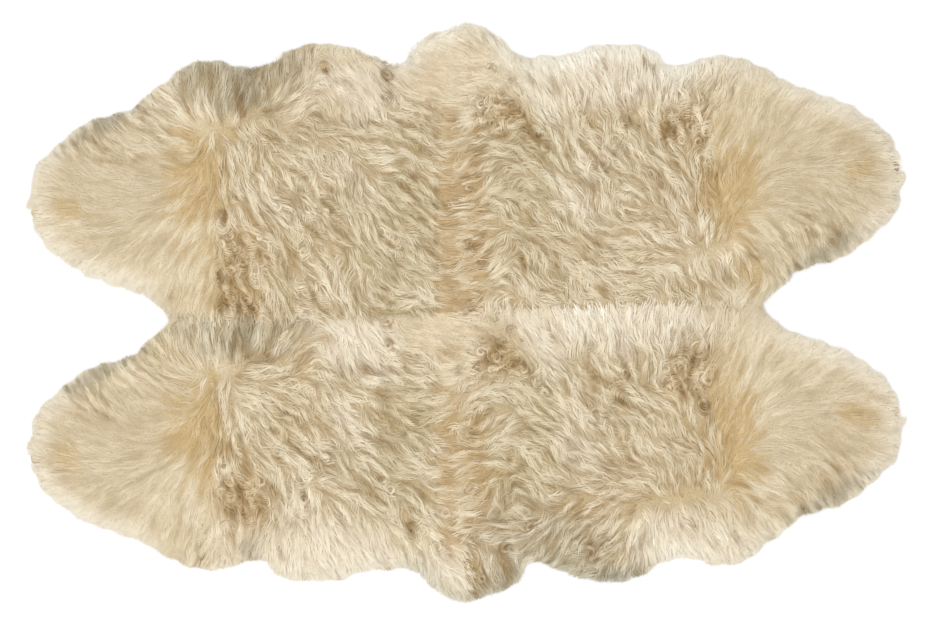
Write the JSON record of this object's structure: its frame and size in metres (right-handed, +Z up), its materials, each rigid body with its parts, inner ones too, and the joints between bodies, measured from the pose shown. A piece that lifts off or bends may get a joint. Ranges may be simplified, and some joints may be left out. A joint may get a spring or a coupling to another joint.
{
  "type": "sheepskin rug",
  "caption": "Shaggy sheepskin rug of pelts sewn side by side and end to end, lying flat, to warm and soften a floor.",
  "frame": {"origin": "on the floor under the middle of the rug, where the seams cross", "axes": "+Z up out of the wool; +X along the pelts, from the left pair to the right pair; +Y across them, from front to back"},
  "size_m": [1.838, 1.208, 0.0579],
  "materials": {
    "wool": "long soft wavy wool, cream to honey, matt with a faint sheen",
    "hide": "tanned suede flesh side, matt",
    "thread": "waxed sewing thread, matt"
  },
  "bodies": {
    "root": {"pelt_back_left": "wool", "pelt_front_left": "wool", "pelt_back_right": "wool", "pelt_front_right": "wool"}
  },
  "joints": []
}
